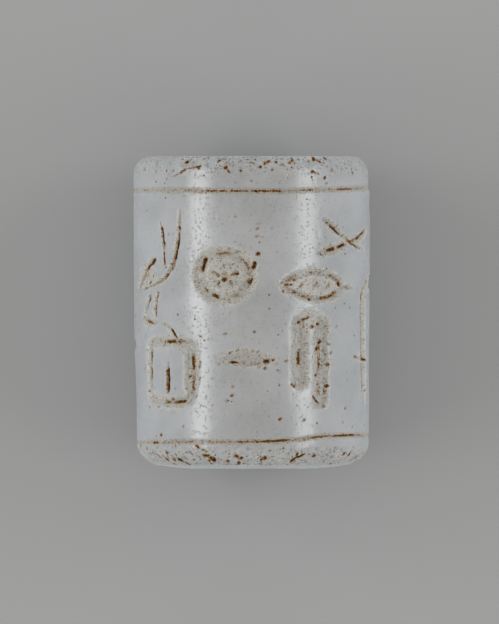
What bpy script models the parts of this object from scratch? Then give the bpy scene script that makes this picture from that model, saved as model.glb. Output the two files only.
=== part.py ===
"""A pierced stone cylinder seal lying on its side, cut with shallow marks between two border lines.

The seal's own axis runs along Y, its upper end towards +Y. It lies on a small flat at z = 0, and the
marks that face up (+Z) are the ones at 0 degrees round the seal. Angles grow towards +X. Every mark
is one or more cutters, shaped like the boat-shaped strokes, dishes and drill pits of a seal cutter.
"""

import math
from collections import namedtuple

import bmesh
import bpy
from mathutils import Vector

MM = 0.001

# Size of the stone
SEAL_LENGTH = 20.0 * MM
UPPER_DIAMETER = 15.2 * MM
LOWER_DIAMETER = 15.0 * MM
UPPER_ROUND_IN = 1.05 * MM
UPPER_ROUND_DOWN = 1.15 * MM
LOWER_ROUND_IN = 1.75 * MM
LOWER_ROUND_UP = 1.45 * MM
LOWER_DOME_UP = 0.18 * MM
LOWER_FLAT_RADIUS = 3.9 * MM
BORE_MOUTH_DIAMETER = 3.8 * MM
BORE_WAIST_DIAMETER = 3.0 * MM
BORE_OVERRUN = 1.0 * MM
REST_FLAT_WIDTH = 3.2 * MM

# How finely the round shapes are faceted
SEAL_SEGMENTS = 72
ROUND_STEPS = 4
DOME_STEPS = 2
BORE_SEGMENTS = 24
BLUNT_STATION_SHARES = (0.0, 0.12, 0.45, 1.0)
TAPER_STATION_SHARES = (0.0, 0.3, 1.0)
BLUNT_LEAD = 0.22
MIDPOINT_LEAD = 0.45
STATIONS_PER_SPAN = 2
STATIONS_PER_LOOP = 22
DISH_SEGMENTS = 16
PIT_SEGMENTS = 8
DISH_BELTS = (1.12, 0.75, 0.35)
DISH_BOWL_POWER = 3.5
CHIP_BELTS = 5
CHIP_SEGMENTS = 12

# Border lines round the stone, by distance past each rounded edge
UPPER_BORDER_PAST_ROUND = 0.95 * MM
LOWER_BORDER_PAST_ROUND = 0.25 * MM
BORDER_HALF_WIDTH = 0.25 * MM
BORDER_DEPTH = 0.12 * MM
UPPER_BORDER_WAVER = 0.04 * MM
LOWER_BORDER_WAVER = 0.2 * MM
LOWER_BORDER_HIGH_AT = 105.0

# Widths and depths of the cutter's strokes
HAIR_HALF_WIDTH = 0.15 * MM
FINE_HALF_WIDTH = 0.22 * MM
FIRM_HALF_WIDTH = 0.32 * MM
BROAD_HALF_WIDTH = 0.5 * MM
LEG_HALF_WIDTH = 0.6 * MM
HAIR_DEPTH = 0.14 * MM
SHALLOW_DEPTH = 0.18 * MM
MIDDLE_DEPTH = 0.27 * MM
DEEP_DEPTH = 0.36 * MM
DISH_DEPTH = 0.2 * MM
PIT_RADIUS = 0.26 * MM

# A stroke's section is a parabola that runs on above the skin of the stone, a border's a plain V
SECTION_SHARES = (-1.25, -0.6, 0.0, 0.6, 1.25)
BORDER_SHARES = (-1.4, 0.0, 1.4)
SECTION_LIFT = 0.06 * MM
LEAST_SWELL = 0.12

HALF_LENGTH = SEAL_LENGTH / 2
MEAN_RADIUS = (UPPER_DIAMETER + LOWER_DIAMETER) / 4
AXIS_HEIGHT = math.sqrt(MEAN_RADIUS**2 - (REST_FLAT_WIDTH / 2) ** 2)

# A point of a mark is (degrees round the seal, share of the half length above its middle).
Stroke = namedtuple("Stroke", "points half_width depth lead")
Loop = namedtuple("Loop", "centre half_angle half_rise half_width depth")
Dish = namedtuple("Dish", "centre half_angle rise fall depth")
Pit = namedtuple("Pit", "centre radius depth")
Chip = namedtuple("Chip", "degrees end half_width reach bite")


def clear_scene():
    for obj in list(bpy.data.objects):
        bpy.data.objects.remove(obj)


def side_radius(along):
    """Radius of the stone's side at a distance along its axis from the middle."""
    share = (along + HALF_LENGTH) / SEAL_LENGTH
    return (LOWER_DIAMETER + (UPPER_DIAMETER - LOWER_DIAMETER) * share) / 2


def on_stone(turn, along, rise=0.0):
    """Point at an angle in radians and a distance along the axis, with a rise above the side."""
    radius = side_radius(along) + rise
    return Vector((radius * math.sin(turn), along, AXIS_HEIGHT + radius * math.cos(turn)))


def link_mesh(name, rings, closed_ends, looped=False):
    """An object whose mesh joins rings of points with quads, capped at both ends or joined up."""
    mesh = bpy.data.meshes.new(name)
    shape = bmesh.new()
    made = [[shape.verts.new(point) for point in ring] for ring in rings]
    count = len(rings[0])
    pairs = list(zip(made, made[1:]))
    if looped:
        pairs.append((made[-1], made[0]))
    for ring, following in pairs:
        for i in range(count):
            j = (i + 1) % count
            shape.faces.new((ring[i], ring[j], following[j], following[i]))
    if closed_ends:
        shape.faces.new(reversed(made[0]))
        shape.faces.new(made[-1])
    bmesh.ops.recalc_face_normals(shape, faces=shape.faces)
    shape.to_mesh(mesh)
    shape.free()
    obj = bpy.data.objects.new(name, mesh)
    bpy.context.scene.collection.objects.link(obj)
    return obj


# The turned stone


def stone_profile():
    """(radius, distance along the axis) from the lower end's flat to the upper end's flat."""
    quarter = [math.pi / 2 * i / ROUND_STEPS for i in range(ROUND_STEPS + 1)]
    lower_side = LOWER_DOME_UP + LOWER_ROUND_UP - HALF_LENGTH
    upper_side = HALF_LENGTH - UPPER_ROUND_DOWN
    dome_reach = side_radius(lower_side) - LOWER_ROUND_IN - LOWER_FLAT_RADIUS
    profile = []
    for i in range(DOME_STEPS):
        share = i / DOME_STEPS
        climb = LOWER_DOME_UP * share * share
        profile.append((LOWER_FLAT_RADIUS + dome_reach * share, climb - HALF_LENGTH))
    for angle in quarter:
        inset = LOWER_ROUND_IN * (1 - math.sin(angle))
        fall = LOWER_ROUND_UP * math.cos(angle)
        profile.append((side_radius(lower_side) - inset, lower_side - fall))
    for angle in reversed(quarter):
        inset = UPPER_ROUND_IN * (1 - math.sin(angle))
        climb = UPPER_ROUND_DOWN * math.cos(angle)
        profile.append((side_radius(upper_side) - inset, upper_side + climb))
    return profile


def turned(name, profile, segments):
    """A closed solid turned about the seal's axis from (radius, distance along) pairs."""
    rings = []
    for radius, along in profile:
        turns = [2 * math.pi * i / segments for i in range(segments)]
        rings.append(
            [Vector((radius * math.sin(t), along, AXIS_HEIGHT + radius * math.cos(t))) for t in turns]
        )
    return link_mesh(name, rings, closed_ends=True)


def bore_cutter():
    """The string hole, drilled from both ends so that it narrows to a waist."""
    mouth = BORE_MOUTH_DIAMETER / 2
    waist = BORE_WAIST_DIAMETER / 2
    overrun = HALF_LENGTH + BORE_OVERRUN
    return turned("bore", [(mouth, -overrun), (waist, 0.0), (mouth, overrun)], BORE_SEGMENTS)


def rest_flat_cutter():
    """Everything below the plane that the seal lies on."""
    reach_x = UPPER_DIAMETER
    reach_y = SEAL_LENGTH
    depth = UPPER_DIAMETER
    low = [Vector((x, y, -depth)) for x, y in square(reach_x, reach_y)]
    top = [Vector((x, y, 0.0)) for x, y in square(reach_x, reach_y)]
    return link_mesh("rest_flat", [low, top], closed_ends=True)


def square(reach_x, reach_y):
    return [(-reach_x, -reach_y), (reach_x, -reach_y), (reach_x, reach_y), (-reach_x, reach_y)]


def chip_cutter(number, chip):
    """A scoop out of the rounded edge at one end (+1 the upper, -1 the lower)."""
    turn = math.radians(chip.degrees)
    round_in = UPPER_ROUND_IN if chip.end > 0 else LOWER_ROUND_IN
    round_along = UPPER_ROUND_DOWN if chip.end > 0 else LOWER_ROUND_UP
    along_edge = HALF_LENGTH - round_along * (1 - math.cos(math.pi / 4))
    radius_edge = side_radius(chip.end * HALF_LENGTH) - round_in * (1 - math.sin(math.pi / 4))
    outward = Vector((math.sin(turn), 0, math.cos(turn))) / math.sqrt(2)
    outward.y = chip.end / math.sqrt(2)
    edge = Vector((radius_edge * math.sin(turn), chip.end * along_edge, 0))
    edge.z = AXIS_HEIGHT + radius_edge * math.cos(turn)
    sideways = Vector((math.cos(turn), 0, -math.sin(turn)))
    other = outward.cross(sideways)
    centre = edge + outward * (chip.reach - chip.bite)
    rings = []
    for i in range(1, CHIP_BELTS):
        polar = math.pi * i / CHIP_BELTS
        ring = []
        for j in range(CHIP_SEGMENTS):
            round_about = 2 * math.pi * j / CHIP_SEGMENTS
            offset = outward * chip.reach * math.cos(polar)
            offset += sideways * chip.half_width * math.sin(polar) * math.cos(round_about)
            offset += other * chip.reach * math.sin(polar) * math.sin(round_about)
            ring.append(centre + offset)
        rings.append(ring)
    return link_mesh(f"chip_{number}", rings, closed_ends=True)


# Cutters for the marks


def stations_of(stroke):
    """Shares of the way along a stroke: close together where its ends taper, even between."""
    shares = BLUNT_STATION_SHARES if stroke.lead <= BLUNT_LEAD else TAPER_STATION_SHARES
    starts = [stroke.lead * share for share in shares]
    spans = STATIONS_PER_SPAN * (len(stroke.points) - 1)
    between = [stroke.lead + (1 - 2 * stroke.lead) * i / spans for i in range(1, spans)]
    if stroke.lead > MIDPOINT_LEAD:
        starts[-1] = 0.5
        between = []
    ends = [1 - way for way in reversed(starts)]
    ways = starts + between + ends
    return [way for i, way in enumerate(ways) if i == 0 or way > ways[i - 1]]


def smooth_path(points, ways):
    """(turn, along, share of the way) at those ways on a smooth curve through the points."""
    knots = [Vector((math.radians(deg), share * HALF_LENGTH)) for deg, share in points]
    first = knots[0] * 2 - knots[1]
    last = knots[-1] * 2 - knots[-2]
    knots = [first, *knots, last]
    spans = len(knots) - 3
    path = []
    for way in ways:
        at = spans * way
        span = min(int(at), spans - 1)
        t = at - span
        a, b, c, d = knots[span : span + 4]
        point = b * 2 + (c - a) * t
        point += (a * 2 - b * 5 + c * 4 - d) * t * t
        point += (b * 3 - a - c * 3 + d) * t * t * t
        path.append((point.x / 2, point.y / 2, way))
    return path


def swell(way, lead):
    """How full a stroke is along its way: it tapers over a share called lead at each end."""
    nearest = min(way, 1 - way)
    if nearest >= lead:
        return 1.0
    return max(LEAST_SWELL, math.sqrt(1 - (1 - nearest / lead) ** 2))


def section(turn, along, across_turn, across_along, half_width, depth):
    """One ring of a stroke cutter: the parabola below the skin and a lid above it."""
    ring = []
    for share in SECTION_SHARES:
        offset = share * half_width
        rise = -depth * (1 - share * share)
        if share * share > 1:
            rise += SECTION_LIFT
        ring.append(on_stone(turn + across_turn * offset, along + across_along * offset, rise))
    lid = depth * (SECTION_SHARES[-1] ** 2 - 1) + SECTION_LIFT
    ring.append(on_stone(turn, along, lid + half_width**2 / MEAN_RADIUS))
    return ring


def across_path(before, after):
    """The direction square to the path, as a turn and a distance along for each metre across."""
    ahead_round = (after[0] - before[0]) * MEAN_RADIUS
    ahead_along = after[1] - before[1]
    length = math.hypot(ahead_round, ahead_along)
    return -ahead_along / length / MEAN_RADIUS, ahead_round / length


def stroke_cutter(name, stroke):
    path = smooth_path(stroke.points, stations_of(stroke))
    rings = []
    for i, (turn, along, way) in enumerate(path):
        across = across_path(path[max(i - 1, 0)], path[min(i + 1, len(path) - 1)])
        full = swell(way, stroke.lead)
        rings.append(section(turn, along, *across, stroke.half_width * full, stroke.depth * full))
    return link_mesh(name, rings, closed_ends=True)


def loop_cutter(name, loop):
    """A groove that closes on itself, as round a roundel."""
    turn_0 = math.radians(loop.centre[0])
    along_0 = loop.centre[1] * HALF_LENGTH
    half_turn = math.radians(loop.half_angle)
    half_along = loop.half_rise * HALF_LENGTH
    path = []
    for i in range(STATIONS_PER_LOOP):
        angle = 2 * math.pi * i / STATIONS_PER_LOOP
        path.append((turn_0 + half_turn * math.cos(angle), along_0 + half_along * math.sin(angle)))
    rings = []
    for i, (turn, along) in enumerate(path):
        across = across_path(path[i - 1], path[(i + 1) % len(path)])
        rings.append(section(turn, along, *across, loop.half_width, loop.depth))
    return link_mesh(name, rings, closed_ends=False, looped=True)


def border_section(turn, along):
    """One ring of a border cutter: a plain V with a lid above the skin."""
    ring = []
    for share in BORDER_SHARES:
        rise = BORDER_DEPTH * (abs(share) - 1)
        ring.append(on_stone(turn, along + share * BORDER_HALF_WIDTH, rise))
    ring.append(on_stone(turn, along, SECTION_LIFT))
    return ring


def border_cutter(name, along_0, waver, high_at):
    """A line that runs all the way round the stone and wavers a little along it."""
    rings = []
    for i in range(SEAL_SEGMENTS):
        turn = 2 * math.pi * (i + 0.5) / SEAL_SEGMENTS
        along = along_0 + waver * math.cos(turn - math.radians(high_at))
        rings.append(border_section(turn, along))
    return link_mesh(name, rings, closed_ends=False, looped=True)


def dish_ring(dish, share, rise, segments):
    """The dish's outline, shrunk to a share of its size, at a rise above the skin."""
    turn_0 = math.radians(dish.centre[0])
    along_0 = dish.centre[1] * HALF_LENGTH
    ring = []
    for j in range(segments):
        angle = 2 * math.pi * j / segments
        upright = dish.rise if math.sin(angle) > 0 else dish.fall
        turn = turn_0 + math.radians(dish.half_angle) * share * math.cos(angle)
        along = along_0 + upright * HALF_LENGTH * share * math.sin(angle)
        ring.append(on_stone(turn, along, rise))
    return ring


def dish_cutter(name, dish, segments=DISH_SEGMENTS):
    """A shallow sunk field with its own rise and fall from the centre."""
    outer, *_, inner = DISH_BELTS
    rings = [dish_ring(dish, inner, 3 * SECTION_LIFT, segments)]
    rings.append(dish_ring(dish, outer, 3 * SECTION_LIFT, segments))
    rings.append(dish_ring(dish, outer, SECTION_LIFT, segments))
    for share in DISH_BELTS[1:]:
        fall = dish.depth * (1 - share**DISH_BOWL_POWER)
        rings.append(dish_ring(dish, share, -fall, segments))
    return link_mesh(name, rings, closed_ends=True)


def pit_cutter(name, pit):
    """A small round drill pit."""
    half_angle = math.degrees(pit.radius / MEAN_RADIUS)
    upright = pit.radius / HALF_LENGTH
    return dish_cutter(name, Dish(pit.centre, half_angle, upright, upright, pit.depth), PIT_SEGMENTS)


# The marks that the photographed side shows


def forked_figure():
    """Two tall horn-like strokes over a pod, with a splayed foot and a trailing line."""
    return [
        Stroke([(-54, 0.65), (-51, 0.56), (-49, 0.46), (-48, 0.31)], FINE_HALF_WIDTH, MIDDLE_DEPTH, 0.5),
        Stroke(
            [(-37.5, 0.67), (-38, 0.53), (-40, 0.40), (-45, 0.25), (-54, 0.18), (-64, 0.155), (-75, 0.13)],
            FINE_HALF_WIDTH,
            MIDDLE_DEPTH,
            0.4,
        ),
        Stroke([(-54, 0.345), (-60, 0.32), (-67, 0.26), (-75, 0.15)], FIRM_HALF_WIDTH, MIDDLE_DEPTH, 0.3),
        Dish((-63, 0.232), 10, 0.085, 0.075, DISH_DEPTH),
        Stroke([(-59.5, 0.125), (-62, 0.07), (-66, -0.01)], FINE_HALF_WIDTH, MIDDLE_DEPTH, 0.3),
        Stroke([(-52, 0.14), (-54.5, 0.07), (-54.5, 0.02), (-52, -0.03)], FINE_HALF_WIDTH, SHALLOW_DEPTH, 0.3),
        Stroke([(-69, -0.035), (-61, -0.06), (-53, -0.055)], FIRM_HALF_WIDTH, SHALLOW_DEPTH, 0.4),
        Stroke([(-50, -0.06), (-45, -0.1), (-39, -0.16)], HAIR_HALF_WIDTH, HAIR_DEPTH, 0.5),
    ]


def boxed_stroke():
    """A square outline of four cuts round one short deep stroke."""
    left, right, top, bottom = -60.0, -30.5, -0.185, -0.585
    middle = (left + right) / 2
    lid = [(left, top), (middle, top + 0.006), (right, top)]
    floor = [(left, bottom), (middle, bottom - 0.014), (right, bottom)]
    return [
        Stroke([(left, top), (left, bottom)], FIRM_HALF_WIDTH, MIDDLE_DEPTH, 0.12),
        Stroke([(right, top), (right, bottom)], BROAD_HALF_WIDTH, DEEP_DEPTH, 0.12),
        Stroke(lid, FIRM_HALF_WIDTH, MIDDLE_DEPTH, 0.12),
        Stroke(floor, FIRM_HALF_WIDTH, MIDDLE_DEPTH, 0.12),
        Stroke([(middle, -0.31), (middle, -0.42), (middle, -0.51)], FINE_HALF_WIDTH, DEEP_DEPTH, 0.4),
    ]


def rosette():
    """A ringed roundel with a centre pit and short rays."""
    centre = (-13.5, 0.244)
    rays = 5
    cuts = [
        Dish(centre, 13, 0.15, 0.15, DISH_DEPTH),
        Loop(centre, 13.4, 0.15, FIRM_HALF_WIDTH, DEEP_DEPTH),
        Pit(centre, PIT_RADIUS, DEEP_DEPTH),
    ]
    for i in range(rays):
        angle = 2 * math.pi * i / rays + math.radians(20)
        path = []
        for share in (0.25, 0.8):
            deg = centre[0] + 10.5 * share * math.cos(angle)
            path.append((deg, centre[1] + 0.118 * share * math.sin(angle)))
        cuts.append(Stroke(path, FINE_HALF_WIDTH, DEEP_DEPTH, 0.4))
    return cuts


def low_loaf():
    """A small dish, flat below and arched above, with a drill pit near each end."""
    return [
        Dish((-3.5, -0.3), 13.5, 0.09, 0.045, MIDDLE_DEPTH),
        Pit((-9.2, -0.31), PIT_RADIUS, DEEP_DEPTH),
        Pit((7.0, -0.305), PIT_RADIUS, DEEP_DEPTH),
    ]


def leaf():
    """Two arcs that meet at both ends round a shallow field with slanting veins."""
    upper_arc = [(14, 0.175), (22, 0.235), (32, 0.252), (43, 0.235), (51, 0.175)]
    lower_arc = [(14, 0.18), (22, 0.13), (32, 0.098), (43, 0.106), (52, 0.165)]
    cuts = [
        Dish((32.5, 0.172), 19.5, 0.085, 0.085, DISH_DEPTH),
        Stroke(upper_arc, FIRM_HALF_WIDTH, MIDDLE_DEPTH, 0.2),
        Stroke(lower_arc, FIRM_HALF_WIDTH, MIDDLE_DEPTH, 0.2),
        Stroke([(49, 0.175), (54, 0.16), (59, 0.155)], FINE_HALF_WIDTH, HAIR_DEPTH, 0.5),
    ]
    for deg in (25.0, 33.0, 41.0):
        cuts.append(Stroke([(deg - 1.5, 0.145), (deg + 1.5, 0.2)], HAIR_HALF_WIDTH, DEEP_DEPTH, 0.4))
    return cuts


def capped_pair():
    """Two tall broad strokes side by side that run up into one round-topped field."""
    left, right, shoulder = 24.6, 35.9, -0.075
    middle = (left + right) / 2
    reach = (right - left) / 2 + math.degrees(LEG_HALF_WIDTH / MEAN_RADIUS)
    return [
        Dish((middle, shoulder), reach, 0.12, 0.035, MIDDLE_DEPTH),
        Stroke([(left, shoulder + 0.035), (left, -0.49)], LEG_HALF_WIDTH, DEEP_DEPTH, 0.12),
        Stroke([(right, shoulder + 0.035), (right, -0.61)], LEG_HALF_WIDTH, DEEP_DEPTH, 0.12),
    ]


def crossed_strokes():
    """Two pairs of tapering strokes that cross."""
    return [
        Stroke([(36, 0.6), (44, 0.548), (52, 0.495)], FIRM_HALF_WIDTH, MIDDLE_DEPTH, 0.5),
        Stroke([(50, 0.508), (62, 0.435), (76, 0.38)], FINE_HALF_WIDTH, SHALLOW_DEPTH, 0.5),
        Stroke([(32, 0.375), (40, 0.396), (47, 0.42), (55, 0.442)], FIRM_HALF_WIDTH, MIDDLE_DEPTH, 0.4),
        Stroke([(54, 0.437), (61, 0.468), (68, 0.505), (78, 0.545)], FIRM_HALF_WIDTH, MIDDLE_DEPTH, 0.4),
    ]


def tall_staple():
    """A tall groove that turns over at the top onto the hidden side, with a short bar across."""
    return [
        Stroke(
            [(73, -0.58), (73, -0.3), (72, -0.05), (72, 0.1), (77, 0.18), (85, 0.2), (93, 0.18), (98, 0.1)],
            BROAD_HALF_WIDTH,
            MIDDLE_DEPTH,
            0.12,
        ),
        Stroke([(98, 0.12), (99, -0.2), (98, -0.58)], BROAD_HALF_WIDTH, MIDDLE_DEPTH, 0.12),
        Stroke([(60, -0.275), (68, -0.288), (79, -0.292)], FINE_HALF_WIDTH, MIDDLE_DEPTH, 0.4),
    ]


# Plainer marks of the same kind on the hidden side


def hidden_marks():
    cuts = [
        Dish((122, 0.46), 14, 0.07, 0.07, DISH_DEPTH),
        Stroke([(110, 0.46), (122, 0.53), (134, 0.46)], FIRM_HALF_WIDTH, MIDDLE_DEPTH, 0.3),
        Stroke([(110, 0.46), (122, 0.39), (134, 0.46)], FIRM_HALF_WIDTH, MIDDLE_DEPTH, 0.3),
        Stroke([(118, 0.2), (120, -0.1), (119, -0.5)], BROAD_HALF_WIDTH, MIDDLE_DEPTH, 0.2),
        Loop((141, 0.02), 8.0, 0.1, FINE_HALF_WIDTH, MIDDLE_DEPTH),
        Pit((141, 0.02), PIT_RADIUS, MIDDLE_DEPTH),
        Stroke([(134, -0.28), (148, -0.3)], FIRM_HALF_WIDTH, MIDDLE_DEPTH, 0.3),
        Stroke([(134, -0.45), (148, -0.46)], FIRM_HALF_WIDTH, MIDDLE_DEPTH, 0.3),
        Stroke([(-88, 0.55), (-97, 0.3), (-90, 0.02)], FIRM_HALF_WIDTH, MIDDLE_DEPTH, 0.4),
        Stroke([(-84, -0.2), (-100, -0.22)], FIRM_HALF_WIDTH, MIDDLE_DEPTH, 0.4),
        Stroke([(-91, -0.25), (-92, -0.58)], BROAD_HALF_WIDTH, MIDDLE_DEPTH, 0.25),
        Dish((-119, 0.1), 12, 0.06, 0.1, DISH_DEPTH),
        Stroke([(-108, 0.5), (-120, 0.42), (-131, 0.5)], FIRM_HALF_WIDTH, MIDDLE_DEPTH, 0.4),
    ]
    for deg in (-110.0, -121.0, -132.0):
        cuts.append(Stroke([(deg, -0.22), (deg - 1, -0.56)], FIRM_HALF_WIDTH, MIDDLE_DEPTH, 0.2))
    for share in (0.55, 0.32, 0.09):
        cuts.append(Stroke([(-141, share), (-151, share - 0.05)], FINE_HALF_WIDTH, MIDDLE_DEPTH, 0.4))
    return cuts


def chips():
    """Old losses along the two rounded edges."""
    return [
        Chip(-33, 1, 1.8 * MM, 1.3 * MM, 0.26 * MM),
        Chip(31, 1, 1.1 * MM, 0.9 * MM, 0.2 * MM),
        Chip(150, 1, 1.5 * MM, 1.2 * MM, 0.25 * MM),
        Chip(-22, -1, 1.5 * MM, 1.1 * MM, 0.22 * MM),
        Chip(24, -1, 1.1 * MM, 0.9 * MM, 0.18 * MM),
        Chip(82, -1, 3.4 * MM, 3.0 * MM, 0.3 * MM),
        Chip(-112, -1, 1.8 * MM, 1.4 * MM, 0.28 * MM),
    ]


def cut_away(stone, cutters):
    """Takes every cutter out of the stone with one Boolean, and hides the cutters."""
    gathered = bpy.data.collections.new("cutters")
    for cutter in cutters:
        cutter.hide_render = True
        cutter.display_type = "WIRE"
        for home in list(cutter.users_collection):
            home.objects.unlink(cutter)
        gathered.objects.link(cutter)
    gathered.hide_render = True
    bpy.context.scene.collection.children.link(gathered)
    cut = stone.modifiers.new("carving", "BOOLEAN")
    cut.operation = "DIFFERENCE"
    cut.solver = "EXACT"
    cut.operand_type = "COLLECTION"
    cut.collection = gathered


def mark_cutters():
    figures = [
        forked_figure,
        boxed_stroke,
        rosette,
        low_loaf,
        leaf,
        capped_pair,
        crossed_strokes,
        tall_staple,
        hidden_marks,
    ]
    makers = {Stroke: stroke_cutter, Loop: loop_cutter, Dish: dish_cutter, Pit: pit_cutter}
    made = []
    for figure in figures:
        for i, cut in enumerate(figure()):
            made.append(makers[type(cut)](f"{figure.__name__}_{i}", cut))
    return made


def stone_material():
    """Milky blue-white chalcedony with a soft polish."""
    material = bpy.data.materials.new("milky_stone")
    material.use_nodes = True
    shader = material.node_tree.nodes["Principled BSDF"]
    shader.inputs["Base Color"].default_value = (0.56, 0.58, 0.59, 1)
    shader.inputs["Roughness"].default_value = 0.35
    shader.inputs["Metallic"].default_value = 0.0
    return material


def main():
    clear_scene()
    seal = turned("seal", stone_profile(), SEAL_SEGMENTS)
    seal.data.materials.append(stone_material())
    seal.data.shade_smooth()
    seal.data.set_sharp_from_angle(angle=math.radians(25))
    upper_line = HALF_LENGTH - UPPER_ROUND_DOWN - UPPER_BORDER_PAST_ROUND
    lower_line = LOWER_ROUND_UP + LOWER_BORDER_PAST_ROUND - HALF_LENGTH
    cutters = [
        bore_cutter(),
        rest_flat_cutter(),
        border_cutter("upper_border", upper_line, UPPER_BORDER_WAVER, 0.0),
        border_cutter("lower_border", lower_line, LOWER_BORDER_WAVER, LOWER_BORDER_HIGH_AT),
    ]
    cutters += [chip_cutter(i, chip) for i, chip in enumerate(chips())]
    cutters += mark_cutters()
    cut_away(seal, cutters)


main()
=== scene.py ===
"""A small cylinder seal of milky chalcedony lying on its side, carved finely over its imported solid.

The seal's own axis runs along Y, its upper end towards +Y, and its rest flat lies at z = 0. A place on it
is given by the degrees round it, from the line that faces up, and the share of its half length.
"""

import math
from collections import namedtuple

import bpy
import numpy as np
from mathutils import Euler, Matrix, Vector


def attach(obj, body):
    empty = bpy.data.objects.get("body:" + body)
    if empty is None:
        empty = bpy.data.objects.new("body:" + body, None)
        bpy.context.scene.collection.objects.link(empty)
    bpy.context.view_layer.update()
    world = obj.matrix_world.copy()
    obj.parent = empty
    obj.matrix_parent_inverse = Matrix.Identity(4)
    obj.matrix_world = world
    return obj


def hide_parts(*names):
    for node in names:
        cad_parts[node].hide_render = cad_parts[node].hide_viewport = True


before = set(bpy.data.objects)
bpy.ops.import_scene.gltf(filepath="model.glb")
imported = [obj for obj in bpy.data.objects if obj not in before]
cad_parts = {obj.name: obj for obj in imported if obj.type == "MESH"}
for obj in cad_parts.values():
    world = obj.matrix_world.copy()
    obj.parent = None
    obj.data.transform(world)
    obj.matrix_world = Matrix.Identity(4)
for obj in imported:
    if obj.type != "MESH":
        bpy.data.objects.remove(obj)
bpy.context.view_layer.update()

MM = 0.001

# Size of the stone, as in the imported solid
SEAL_LENGTH = 20.0 * MM
UPPER_DIAMETER = 15.2 * MM
LOWER_DIAMETER = 15.0 * MM
UPPER_ROUND_IN = 1.05 * MM
UPPER_ROUND_DOWN = 1.15 * MM
LOWER_ROUND_IN = 1.75 * MM
LOWER_ROUND_UP = 1.45 * MM
LOWER_DOME_UP = 0.18 * MM
LOWER_FLAT_RADIUS = 3.9 * MM
BORE_MOUTH_DIAMETER = 3.8 * MM
BORE_WAIST_DIAMETER = 3.0 * MM
REST_FLAT_WIDTH = 3.2 * MM
HALF_LENGTH = SEAL_LENGTH / 2
MEAN_RADIUS = (UPPER_DIAMETER + LOWER_DIAMETER) / 4
AXIS_HEIGHT = math.sqrt(MEAN_RADIUS**2 - (REST_FLAT_WIDTH / 2) ** 2)

# How finely the skin is divided, and what is kept at its points for the finish
FINE_TURN = 0.5
COARSE_TURN = 1.0
FINE_REACH = 100.0
SIDE_STEP = 0.06 * MM
FACE_STEPS = 12
DOME_STEPS = 12
ROUND_STEPS = 18
BORE_STEPS = 24
MOUTH_STEPS = 5
MOST_TRIANGLES = 190000
PATH_STEPS_PER_SPAN = 8
LOOP_STEPS = 72
SHARP_ANGLE = math.radians(42)
KEPT_VALUES = ("ground", "grime", "worn")

# Border lines, as (degrees round, share of the half length)
UPPER_BORDER = [(-150, 0.79), (-68, 0.781), (-45, 0.78), (-20, 0.774), (15, 0.773), (35, 0.783), (72, 0.794)]
LOWER_BORDER = [(-100, -0.825), (-51, -0.829), (-32, -0.823), (2, -0.822)]
LOWER_BORDER += [(24, -0.808), (36, -0.79), (58, -0.781)]
BORDER_HALF_WIDTH = 0.17 * MM
BORDER_HAZE = 0.08 * MM
BORDER_DEPTH = 0.05 * MM
BORDER_LEAST_PRESS = 0.5
BORDER_PRESS_CHANGE = 0.7
BORDER_PRESS_CELL = 0.8 * MM
BORDER_FRAY = 0.5
BORDER_GROUND = 0.85
BORDER_BAND_GRIME = 0.08
BORDER_GROOVE_GRIME = 0.06
DASH_HALF_WIDTH = 0.09 * MM
DASH_STRENGTH = 0.95
DASH_SPANS = 4

# Half widths and depths of the cutter's strokes
HAIR_HALF = 0.17 * MM
FINE_HALF = 0.22 * MM
FIRM_HALF = 0.35 * MM
FRAME_HALF = 0.42 * MM
BROAD_HALF = 0.52 * MM
LEG_HALF = 0.65 * MM
HAIR_DEPTH = 0.1 * MM
SHALLOW_DEPTH = 0.13 * MM
MIDDLE_DEPTH = 0.19 * MM
DEEP_DEPTH = 0.3 * MM
DISH_DEPTH = 0.15 * MM
PIT_RADIUS = 0.26 * MM
LEAST_SWELL = 0.03
WORN_LIP = 0.25 * MM
BOWL_POWER = 3.0
BOWL_LIP_POWER = 1.8
BOWL_MARGIN = 0.2
BOWL_HAZE_END = 1.12
BOWL_HAZE_FADE = 5
HAZE_REACH = 0.16 * MM

# Dirt, in the deepest part of a cut or in spots of its own
DIRT_WIDTH_SHARE = 0.6
WIDEST_DIRT = 0.14 * MM
DIRT_FRAY = 0.35
DIRT_EDGE = 0.1
STAIN_DEPTH = 0.04 * MM
LEAST_SPOT = 0.04 * MM
SPOT_GROWTH = 0.1 * MM

# Natural pits, as (how many, lowest and highest share of the half length, largest radius)
NATURAL_PITS = [(60, -1.0, 1.0, 0.15 * MM), (380, -0.99, -0.84, 0.19 * MM), (170, 0.82, 0.99, 0.14 * MM)]
LEAST_PIT = 0.07 * MM
PIT_DEPTH_SHARE = 0.4
DIRTY_PIT_SHARE = 0.3
PIT_GRIME = 0.95

# Unevenness of the stone and of the ground in its cuts
HAND_WAVE = 0.03 * MM
HAND_WAVE_CELL = 3.6 * MM
EDGE_FRAY = 0.09 * MM
FRAY_CELL = 0.75 * MM
FINE_FRAY = 1.1
GROUND_GRAIN = 0.03 * MM
GRAIN_CELL = 0.16 * MM
FINE_GRAIN = 0.6
GRAIN_MIDDLE = 0.4
RIM_WEAR = 0.09 * MM
RIM_WEAR_CELL = 0.9 * MM
FINE_RIM_WEAR = 0.35
UPPER_RIM_WEAR = 0.5
WORN_REACH = 1.9 * MM
LOWER_END_WEAR = 1.3
UPPER_END_WEAR = 0.75
LOWER_END_GROUND = 0.6
UPPER_END_GROUND = 0.45
GROUND_PER_WEAR = 1.6
CHIP_GROUND = 0.7
CHIP_GROUND_DEPTH = 0.04 * MM
FACE_WEAR = 0.3
BORE_WEAR = 0.8
MOUTH_ROUND = 0.25 * MM
FACE_LEAN = 0.25

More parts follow.
